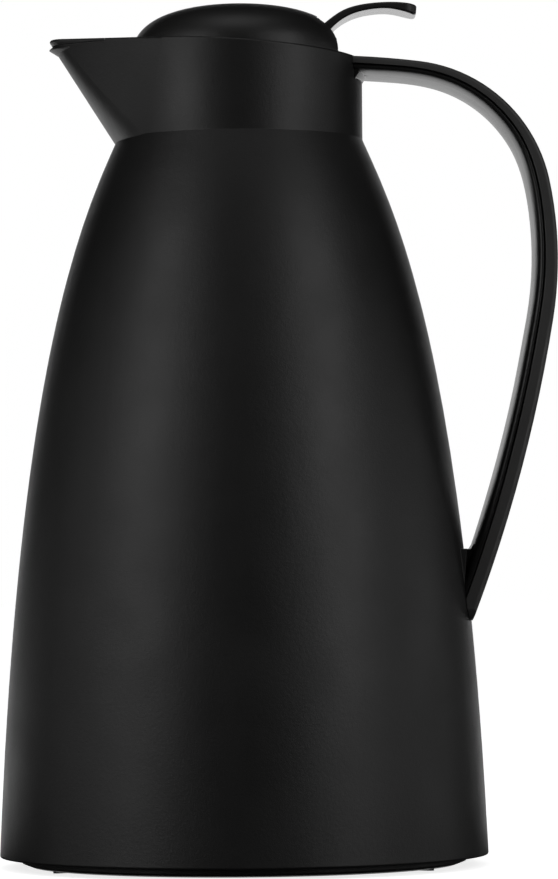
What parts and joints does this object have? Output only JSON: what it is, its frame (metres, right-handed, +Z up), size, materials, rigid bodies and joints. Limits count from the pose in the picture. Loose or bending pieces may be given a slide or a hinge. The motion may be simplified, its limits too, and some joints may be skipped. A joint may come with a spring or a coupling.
{
  "type": "vacuum carafe",
  "caption": "Flared black vacuum carafe with a glass flask, screw closure, flip lid with thumb lever, pouring spout and loop handle.",
  "frame": {"origin": "on the body's vertical axis at table level, under the feet", "axes": "+Z up, +X towards the handle, -X towards the spout"},
  "size_m": [0.1675, 0.1458, 0.258],
  "materials": {
    "casing_plastic": "matte black, fine grained",
    "insert_plastic": "matte black, fine grained",
    "handle_plastic": "matte black, fine grained",
    "cover_plastic": "matte black, smoother than the casing",
    "lid_plastic": "matte black, fine grained",
    "lever_plastic": "matte black, fine grained",
    "closure_plastic": "matte black, moulded",
    "base_plastic": "matte black",
    "silvered_glass": "silvered borosilicate glass",
    "mineral_pad": "pressed mineral fibre",
    "silicone": "translucent grey silicone",
    "rubber": "black rubber",
    "foot_rubber": "black rubber, matte",
    "foam": "white expanded foam",
    "steel": "plain stainless steel",
    "spring_steel": "drawn stainless spring wire"
  },
  "bodies": {
    "carafe": {"outer_casing": "casing_plastic", "pour_insert": "insert_plastic", "handle_shell": "handle_plastic", "handle_inner_cover": "cover_plastic", "handle_screws": "steel", "glass_outer_wall": "silvered_glass", "glass_inner_wall": "silvered_glass", "glass_spacer_pads": "mineral_pad", "mouth_gasket": "silicone", "flask_cushion": "rubber", "base_cap": "base_plastic", "base_seal": "rubber", "feet": "foot_rubber"},
    "closure_lift": {"closure_gasket": "silicone"},
    "closure": {"closure_collar": "closure_plastic", "hinge_pin": "steel", "lid_spring": "spring_steel"},
    "lid": {"lid_dome": "lid_plastic", "lid_base": "closure_plastic", "lid_seal": "silicone", "seal_retainer": "closure_plastic", "retainer_screw": "steel", "lid_insulation": "foam", "thumb_lever": "lever_plastic", "lever_screws": "steel"}
  },
  "joints": [
    {"name": "closure_rise", "type": "slide", "parent": "carafe", "child": "closure_lift", "axis": [0, 0, 1], "range_m": [0, 0.006]},
    {"name": "closure_turn", "type": "hinge", "parent": "closure_lift", "child": "closure", "pos_m": [0, 0, 0.23], "axis": [0, 0, 1], "range_deg": [0, 120]},
    {"name": "lid_hinge", "type": "hinge", "parent": "closure", "child": "lid", "pos_m": [0.027, 0, 0.2423], "axis": [0, 1, 0], "range_deg": [0, 24], "stiffness_Nm_per_rad": 0.05, "springref_deg": -57.3, "deforming": ["lid_spring"]}
  ],
  "couplings": [
    {"joint": "closure_turn", "follows": "closure_rise", "rad_per_m": 349.06}
  ]
}
